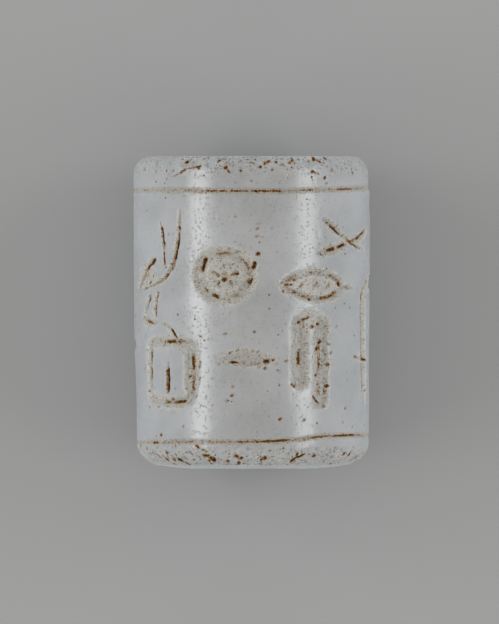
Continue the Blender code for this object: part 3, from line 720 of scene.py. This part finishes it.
def cut_borders(skin):
    """The two lines round the stone, cut by hand and so a little uneven."""
    for border, seed in ((UPPER_BORDER, 21), (LOWER_BORDER, 22)):
        line = HALF_LENGTH * border_share(border, np.degrees(skin.turn)) + BORDER_FRAY * skin.fray * EDGE_FRAY
        pressed = BORDER_LEAST_PRESS + BORDER_PRESS_CHANGE * skin.grain(BORDER_PRESS_CELL, seed)
        distance = np.abs(skin.along - line)
        where = np.nonzero(skin.flank & (distance < BORDER_HALF_WIDTH + BORDER_HAZE))[0]
        groove = np.clip(1 - distance[where] / BORDER_HALF_WIDTH, 0, 1)
        haze = np.clip((BORDER_HALF_WIDTH - distance[where]) / BORDER_HAZE + 1, 0, 1)
        grime = BORDER_BAND_GRIME * haze + BORDER_GROOVE_GRIME * groove
        skin.sink(where, BORDER_DEPTH * pressed[where] * groove, BORDER_GROUND * haze, grime)


def lay_stain(skin, stain):
    """Dirt in a slight hollow of its own."""
    path = smooth_path(stain.points)
    where = skin.near(path[:, 0], path[:, 1], stain.half_width)
    distance, way = nearest_on(path, skin.around[where], skin.along[where])
    share = np.clip(distance / stain.half_width + skin.fray[where] * DIRT_FRAY, 0, 1)
    hollow = 1 - share * share
    skin.depth[where] += STAIN_DEPTH * hollow * stain.strength
    skin.grime[where] = np.maximum(skin.grime[where], stain.strength * hollow)


def scatter_pits(skin):
    """Small natural pits all over, more of them towards the two ends."""
    rng = np.random.default_rng(5)
    for count, lowest, highest, largest in NATURAL_PITS:
        for _ in range(count):
            around = (rng.random() - 0.5) * 2 * math.pi * MEAN_RADIUS
            along = (lowest + (highest - lowest) * rng.random()) * HALF_LENGTH
            radius = LEAST_PIT + (largest - LEAST_PIT) * rng.random() ** 3
            dirty = rng.random() < DIRTY_PIT_SHARE
            sink_pit(skin, around, along, radius, PIT_DEPTH_SHARE * radius, PIT_GRIME * dirty)


def chip_depths(skin):
    """How far in along its own direction each point lies inside a chip's scoop."""
    deepest = np.zeros(len(skin.turn))
    for chip in chips():
        turn = math.radians(chip.degrees)
        round_in = UPPER_ROUND_IN if chip.end > 0 else LOWER_ROUND_IN
        round_along = UPPER_ROUND_DOWN if chip.end > 0 else LOWER_ROUND_UP
        along_edge = HALF_LENGTH - round_along * (1 - math.cos(math.pi / 4))
        radius_edge = side_radius(chip.end * HALF_LENGTH) - round_in * (1 - math.sin(math.pi / 4))
        outward = Vector((math.sin(turn), 0, math.cos(turn))) / math.sqrt(2)
        outward.y = chip.end / math.sqrt(2)
        edge = Vector((radius_edge * math.sin(turn), chip.end * along_edge, 0))
        edge.z = AXIS_HEIGHT + radius_edge * math.cos(turn)
        sideways = Vector((math.cos(turn), 0, -math.sin(turn)))
        other = outward.cross(sideways)
        centre = edge + outward * (chip.reach - chip.bite)
        shrink = np.array([outward / chip.reach, sideways / chip.half_width, other / chip.reach])
        start = (skin.point - np.array(centre)) @ shrink.T
        aim = -skin.outward @ shrink.T
        a = (aim * aim).sum(axis=1)
        b = (start * aim).sum(axis=1)
        c = (start * start).sum(axis=1) - 1
        inside = (c < 0) & (skin.radius > LOWER_FLAT_RADIUS)
        through = (np.sqrt(np.maximum(b * b - a * c, 0)) - b) / a
        deepest = np.maximum(deepest, np.where(inside, through, 0))
    return deepest


def hollow_depths(skin, hollow):
    """How far a broad worn place is sunk at each point: flat along its middle and soft at its rims."""
    off = np.abs((np.degrees(skin.turn) - hollow.degrees + 180) % 360 - 180) / hollow.half_angle
    inside = np.minimum(skin.along / HALF_LENGTH - hollow.start, hollow.end - skin.along / HALF_LENGTH)
    soft = np.clip(inside / hollow.soft, 0, 1)
    sideways = np.clip((skin.lean - FACE_LEAN) / (1 - FACE_LEAN), 0, 1)
    return hollow.depth * soft * np.clip(1 - off * off, 0, 1) * sideways


def weather(skin):
    """Hand unevenness of the sides, wear of the ends, and grain in the cuts, chips and bore."""
    from_end = HALF_LENGTH - np.abs(skin.along)
    worn_most = np.select([skin.lean < -FACE_LEAN, skin.lean < FACE_LEAN], [BORE_WEAR, FACE_WEAR], 1.0)
    lower = skin.along < 0
    end_wear = np.where(lower, LOWER_END_WEAR, UPPER_END_WEAR)
    skin.worn = worn_most * np.clip(1 - from_end / WORN_REACH, 0, 1) * end_wear
    for hollow in hollows():
        skin.depth += hollow_depths(skin, hollow)
    rub = skin.grain(RIM_WEAR_CELL, 32) ** 2 + FINE_RIM_WEAR * skin.grain(RIM_WEAR_CELL / 3, 33)
    chipped = chip_depths(skin)
    skin.depth = np.maximum(skin.depth, chipped)
    skin.ground = np.maximum(skin.ground, CHIP_GROUND * np.clip(chipped / CHIP_GROUND_DEPTH, 0, 1))
    end_ground = np.where(lower, LOWER_END_GROUND, UPPER_END_GROUND)
    skin.ground = np.maximum(skin.ground, end_ground * np.clip(GROUND_PER_WEAR * skin.worn, 0, 1))
    skin.ground = np.where(skin.lean < -FACE_LEAN, BORE_WEAR, skin.ground)
    rough = skin.grain(GRAIN_CELL, 34) + FINE_GRAIN * skin.grain(GRAIN_CELL / 2, 35)
    skin.depth += HAND_WAVE * skin.grain(HAND_WAVE_CELL, 31)
    skin.depth += skin.worn * RIM_WEAR * rub * np.where(lower, 1.0, UPPER_RIM_WEAR)
    skin.depth += GROUND_GRAIN * skin.ground * (rough - GRAIN_MIDDLE)


def carve(skin):
    cutters = {Stroke: cut_stroke, Loop: cut_loop, Dish: cut_dish, Pit: cut_pit, Stain: lay_stain}
    figures = [forked_figure, boxed_stroke, rosette, low_loaf, leaf, capped_pair]
    figures += [crossed_strokes, tall_staple, hidden_marks]
    for figure in figures:
        for cut in figure():
            cutters[type(cut)](skin, cut)
    cut_borders(skin)
    weather(skin)
    scatter_pits(skin)
    for stain in border_stains() + loose_stains():
        lay_stain(skin, stain)


def skin_mesh(skin):
    """The carved grid as a closed mesh, with what the finish needs to know at each point."""
    sunk = skin.point - skin.outward * np.maximum(skin.depth, 0)[:, None]
    sunk[:, 2] = np.maximum(sunk[:, 2], 0)
    rows, columns = skin.shape
    number = np.arange(rows * columns).reshape(rows, columns)
    right = np.roll(number, -1, axis=1)
    up = np.roll(number, -1, axis=0)
    quads = np.stack([number, up, np.roll(right, -1, axis=0), right], axis=-1).reshape(-1, 4)
    mesh = bpy.data.meshes.new("carved_seal")
    mesh.from_pydata(sunk.tolist(), [], quads.tolist())
    for name in KEPT_VALUES:
        kept = mesh.attributes.new(name, "FLOAT", "POINT")
        kept.data.foreach_set("value", getattr(skin, name).astype(np.float32))
    return mesh


def away_from_dirt(skin):
    """Indices of the points with no sudden change of dirt beside them."""
    grime = skin.grime.reshape(skin.shape)
    steepest = np.zeros(skin.shape)
    for axis in (0, 1):
        for step in (-1, 1):
            change = np.abs(grime - np.roll(grime, step, axis=axis))
            steepest = np.maximum(steepest, change)
    return np.nonzero(steepest.ravel() < DIRT_EDGE)[0]


def thinned(obj, skin):
    """Thins out the flatter stretches, but no edge of a stain, until there are few enough triangles."""
    thin = obj.modifiers.new("thinning", "DECIMATE")
    thin.ratio = MOST_TRIANGLES / (2 * len(obj.data.polygons))
    free = obj.vertex_groups.new(name="free_to_thin")
    free.add(away_from_dirt(skin).tolist(), 1.0, "REPLACE")
    thin.vertex_group = free.name
    graph = bpy.context.evaluated_depsgraph_get()
    mesh = bpy.data.meshes.new_from_object(obj.evaluated_get(graph))
    obj.modifiers.remove(thin)
    obj.vertex_groups.remove(free)
    for vertex in mesh.vertices:
        vertex.co.z = max(vertex.co.z, 0)
    obj.data = mesh
    mesh.shade_smooth()
    mesh.set_sharp_from_angle(angle=SHARP_ANGLE)


# Finishes


def maths(operation, swapped=False):
    """A method that adds a Math node, with its sides swapped for a plain number on the left."""

    def method(self, other):
        first, second = (other, self) if swapped else (self, other)
        return self.finish.node("ShaderNodeMath", {"operation": operation}, {0: first, 1: second})

    return method


class Signal:
    """A value in a finish. Arithmetic on it adds Math nodes."""

    __add__ = maths("ADD")
    __radd__ = maths("ADD", swapped=True)
    __sub__ = maths("SUBTRACT")
    __rsub__ = maths("SUBTRACT", swapped=True)
    __mul__ = maths("MULTIPLY")
    __rmul__ = maths("MULTIPLY", swapped=True)
    __truediv__ = maths("DIVIDE")
    at_least = maths("MAXIMUM")

    def __init__(self, finish, socket):
        self.finish = finish
        self.socket = socket

    def rising(self, low, high):
        """0 below low, 1 above high and smooth between."""
        values = {"Value": self, "From Min": low, "From Max": high}
        return self.finish.node("ShaderNodeMapRange", {"interpolation_type": "SMOOTHSTEP"}, values)


class Finish:
    """A material made of nodes, with the Principled shader's sockets to set at the end."""

    def __init__(self, name):
        self.material = bpy.data.materials.new(name)
        self.material.use_nodes = True
        self.tree = self.material.node_tree
        self.shader = self.tree.nodes["Principled BSDF"]

    def node(self, kind, settings, values, out=0):
        """Adds a node: its settings first, then the values or links of its sockets."""
        added = self.tree.nodes.new(kind)
        for name, value in settings.items():
            if name == "stops":
                self.set_stops(added.color_ramp, value)
            else:
                setattr(added, name, value)
        for name, value in values.items():
            self.connect(added.inputs[name], value)
        return Signal(self, added.outputs[out])

    def set_stops(self, ramp, stops):
        while len(ramp.elements) < len(stops):
            ramp.elements.new(0.5)
        for element, (position, colour) in zip(ramp.elements, stops):
            element.position = position
            element.color = (*colour, 1)

    def connect(self, socket, value):
        if isinstance(value, Signal):
            self.tree.links.new(value.socket, socket)
        elif isinstance(value, tuple) and len(value) == 3 and len(socket.default_value) == 4:
            socket.default_value = (*value, 1)
        else:
            socket.default_value = value

    def blend(self, mask, under, over):
        """One colour over another by a mask."""
        return self.node("ShaderNodeMix", {"data_type": "RGBA"}, {0: mask, 6: under, 7: over}, 2)

    def place(self):
        return self.node("ShaderNodeTexCoord", {}, {}, "Object")

    def stretched(self, place, stretch):
        return self.node("ShaderNodeVectorMath", {"operation": "MULTIPLY"}, {0: place, 1: stretch})

    def noise(self, place, size, detail, rough):
        """Cloudy random numbers with features about that size."""
        values = {"Vector": place, "Scale": 1 / size, "Detail": detail, "Roughness": rough}
        return self.node("ShaderNodeTexNoise", {}, values)

    def specks(self, place, cell, share_of_cell, fullness):
        """1 inside small round specks of mixed sizes, 0 between them."""
        values = {"Vector": place, "Scale": 1 / cell}
        distance = self.node("ShaderNodeTexVoronoi", {}, values, "Distance")
        colour = self.node("ShaderNodeTexVoronoi", {}, values, "Color")
        chance = self.node("ShaderNodeSeparateColor", {}, {"Color": colour}, "Red")
        size = (chance - (1 - fullness)).at_least(0.0) * (share_of_cell / fullness) + LEAST_SPECK
        return 1 - (distance / size).rising(0.5, 1.1)

    def attribute(self, name):
        return self.node("ShaderNodeAttribute", {"attribute_name": name}, {}, "Fac")

    def paint(self, **sockets):
        for name, value in sockets.items():
            self.connect(self.shader.inputs[name.replace("_", " ")], value)
        return self.material


# Cloudy patterns, as (size, detail, roughness)
CLOUD = (3 * MM, 3, 0.5)
MOTTLE = (0.5 * MM, 4, 0.6)
CRUMB = (0.13 * MM, 3, 0.6)
PATCH = (0.11 * MM, 3, 0.7)
STREAK = (0.14 * MM, 2, 0.5)
PEPPER = (0.19 * MM, 1.5, 0.7)
FLOOR_CLOUD = (40 * MM, 2, 0.5)
STREAK_STRETCH = (1, 0.04, 1)

# Specks, as (cell, largest share of it, how many cells have one)
FINE_SPECKS = (0.17 * MM, 0.62, 0.85)
SPARSE_SPECKS = (0.6 * MM, 0.17, 0.6)
GROUND_SPECKS = (0.2 * MM, 0.5, 0.4)
END_SPECKS = (0.23 * MM, 0.6, 0.7)
PIT_SPECKS = (0.36 * MM, 0.27, 0.8)
LEAST_SPECK = 0.0001

# Colours of the stone, its dirt, the painted glints, painted pit shade and painted light of its cuts, and the
# floor
STONE_PALE = (0.477, 0.479, 0.483)
STONE_GREY = (0.417, 0.42, 0.422)
PAINTED_GLINT_WHITE = (0.8, 0.8, 0.78)
GROUND_TAN_AND_PAINTED_LIGHT = (0.56, 0.535, 0.46)
END_GREY = (0.345, 0.34, 0.32)
SPECK_AND_PIT_SHADE_BROWN = (0.11, 0.07, 0.03)
PEPPER_BROWN = (0.115, 0.062, 0.017)
DIRT_SHADE = (0.25, 0.2, 0.125)
DIRT_TAN = (0.4, 0.265, 0.09)
DIRT_RUST = (0.28, 0.115, 0.012)
DIRT_DARK = (0.06, 0.018, 0.001)
FLOOR_GREY = (0.4, 0.4, 0.4)
FLOOR_PALE = (0.42, 0.42, 0.42)


def milky_stone():
    """Softly polished chalcedony with specks, painted shade in its pits, painted glints and painted light on
    the ground of its cuts, and rusty dirt where it lodges.
    """
    stone = Finish("milky_stone")
    place = stone.place()
    ground, grime, worn = (stone.attribute(name) for name in KEPT_VALUES)
    cloud = stone.noise(place, *CLOUD)
    mottle = stone.noise(place, *MOTTLE)
    crumb = stone.noise(place, *CRUMB)
    patch = stone.noise(place, *PATCH)
    streak = stone.noise(stone.stretched(place, STREAK_STRETCH), *STREAK)
    hazy = (ground * 0.85 + (mottle - 0.5) * 1.5).rising(0.3, 0.95)
    body = stone.blend(cloud.rising(0.35, 0.65), STONE_GREY, STONE_PALE)
    body = stone.blend((mottle - 0.35) * 0.5, body, STONE_PALE)
    body = stone.blend(worn * 0.6, body, END_GREY)
    # The rough ground of the cuts has its own pale tan, made paler still as painted light that makes up for
    # the gloss and light its recesses lose.
    body = stone.blend(hazy * (0.1 + 0.9 * crumb.rising(0.42, 0.6)), body, GROUND_TAN_AND_PAINTED_LIGHT)
    # Painted glints: white flecks on the rough ground and worn ends stand in for light sparkling off its
    # grains.
    body = stone.blend(hazy.at_least(worn) * (1 - crumb).rising(0.55, 0.68) * 0.6, body, PAINTED_GLINT_WHITE)
    fine_specks = stone.specks(place, *FINE_SPECKS)
    sparse_specks = stone.specks(place, *SPARSE_SPECKS)
    ground_specks = stone.specks(place, *GROUND_SPECKS) * hazy
    end_specks = stone.specks(place, *END_SPECKS) * worn.rising(0.1, 0.6)
    pits = stone.specks(place, *PIT_SPECKS)
    # The fine specks and pits are darkened in colour as painted shade for the gloss they lose. The sparse,
    # ground and end specks are real brown specks.
    specks = (fine_specks * 0.08).at_least(pits * 0.28).at_least(sparse_specks * 0.85)
    specks = specks.at_least(ground_specks * 0.35).at_least(end_specks * 0.58)
    body = stone.blend(specks, body, SPECK_AND_PIT_SHADE_BROWN)
    peppered = worn.rising(0.05, 0.9).at_least(hazy * 0.62)
    pepper = stone.noise(place, *PEPPER).rising(0.6, 0.68) * peppered
    body = stone.blend(pepper, body, PEPPER_BROWN)
    body = stone.blend(grime.rising(0.0, 0.1) * 0.26, body, DIRT_SHADE)
    lodged = grime * (0.88 + worn * 0.4) + (hazy * 0.22).at_least(worn * 0.17) + (patch - 0.5) * 2.4
    stops = [(0.35, DIRT_TAN), (0.65, DIRT_RUST), (0.95, DIRT_DARK)]
    dirt_colour = stone.node("ShaderNodeValToRGB", {"stops": stops}, {"Fac": lodged})
    dirt = lodged.rising(0.38, 0.58)
    colour = stone.blend(dirt, body, dirt_colour)
    rough_ground = crumb * ground.at_least(worn) * 5.0
    height = crumb * 0.2 + streak * 0.15 - specks - fine_specks * 0.8 + rough_ground
    relief = stone.node("ShaderNodeBump", {}, {"Strength": 0.7, "Distance": 0.02 * MM, "Height": height})
    roughness = 0.26 + 0.2 * ground + 0.08 * mottle + dirt * 0.3 + fine_specks * 0.5
    polish = (1 - fine_specks * 0.95) * (1 - pits) * (1 - specks) * (1 - ground * 0.6) * (1 - dirt)
    return stone.paint(
        Base_Color=colour,
        Roughness=roughness,
        Normal=relief,
        IOR=1.54,
        Specular_IOR_Level=0.12,
        Coat_Weight=polish,
        Coat_Roughness=0.25,
        Coat_IOR=1.8,
        Sheen_Weight=0.3,
        Sheen_Roughness=0.2,
        Subsurface_Weight=1.0,
        Subsurface_Radius=(1, 1, 1),
        Subsurface_Scale=1.5 * MM,
    )


def pale_floor_finish():
    floor = Finish("pale_floor")
    cloud = floor.noise(floor.place(), *FLOOR_CLOUD)
    colour = floor.blend(cloud, FLOOR_GREY, FLOOR_PALE)
    return floor.paint(Base_Color=colour, Roughness=0.9)


# The seal, the floor, the lights and the camera


def carved_seal():
    skin = Skin()
    carve(skin)
    seal = bpy.data.objects.new("carved_seal", skin_mesh(skin))
    bpy.context.scene.collection.objects.link(seal)
    thinned(seal, skin)
    seal.data.materials.clear()
    seal.data.materials.append(milky_stone())
    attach(seal, "root")
    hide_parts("seal")
    return seal


def pale_floor():
    reach = 0.5
    mesh = bpy.data.meshes.new("floor")
    corners = [(-reach, -reach, 0), (reach, -reach, 0), (reach, reach, 0), (-reach, reach, 0)]
    mesh.from_pydata(corners, [], [(0, 1, 2, 3)])
    floor = bpy.data.objects.new("floor", mesh)
    bpy.context.scene.collection.objects.link(floor)
    mesh.materials.append(pale_floor_finish())


def softbox(name, tilt, distance, size, radiance, colour, mirrored):
    """A soft light that faces the stone, tipped from straight above about X and then leaned towards +X."""
    data = bpy.data.lights.new(name, "AREA")
    data.shape = "RECTANGLE"
    data.size, data.size_y = size
    data.energy = radiance * math.pi * size[0] * size[1]
    data.color = colour
    lamp = bpy.data.objects.new(name, data)
    bpy.context.scene.collection.objects.link(lamp)
    turn = Euler((math.radians(tilt[0]), math.radians(tilt[1]), 0))
    lamp.rotation_euler = turn
    lamp.location = Vector((0, 0, AXIS_HEIGHT)) + turn.to_matrix() @ Vector((0, 0, distance))
    lamp.visible_camera = False
    lamp.visible_glossy = mirrored


def light_studio():
    """Two long strips that the polish mirrors, and weaker light from the sides and ends that it doesn't."""
    white = (1, 1, 1)
    bluish = (0.66, 0.82, 1)
    softbox("left_strip", (0, -52), STRIP_DISTANCE, STRIP_SIZE, 3.1, white, True)
    softbox("right_strip", (0, 55), STRIP_DISTANCE, STRIP_SIZE, 2.7, white, True)
    sides = [
        ("left_side", (0, -88), LONG_SIDE_SIZE, 5.4),
        ("right_side", (0, 88), LONG_SIDE_SIZE, 5.2),
        ("upper_end", (-87, 0), END_SIZE, 6.4),
        ("lower_end", (87, 0), END_SIZE, 5.6),
    ]
    for name, tilt, size, radiance in sides:
        softbox(name, tilt, SIDE_DISTANCE, size, radiance, bluish, False)
    world = bpy.data.worlds.new("studio")
    world.use_nodes = True
    background = world.node_tree.nodes["Background"]
    background.inputs["Color"].default_value = (1.0, 0.985, 0.945, 1)
    background.inputs["Strength"].default_value = 0.49
    bpy.context.scene.world = world
    bpy.context.scene.view_settings.view_transform = "Standard"


def look_straight_down():
    data = bpy.data.cameras.new("camera")
    data.sensor_width = SENSOR
    data.lens = SENSOR * CAMERA_DISTANCE / (FRAME_HEIGHT * METRES_PER_PIXEL)
    data.clip_end = 10
    camera = bpy.data.objects.new("camera", data)
    bpy.context.scene.collection.objects.link(camera)
    beside = (FRAME_WIDTH / 2 - SEAL_CENTRE_X) * METRES_PER_PIXEL
    above = (SEAL_CENTRE_Y - FRAME_HEIGHT / 2) * METRES_PER_PIXEL
    camera.location = (beside, above, AXIS_HEIGHT + CAMERA_DISTANCE)
    bpy.context.scene.camera = camera


carved_seal()
pale_floor()
light_studio()
look_straight_down()
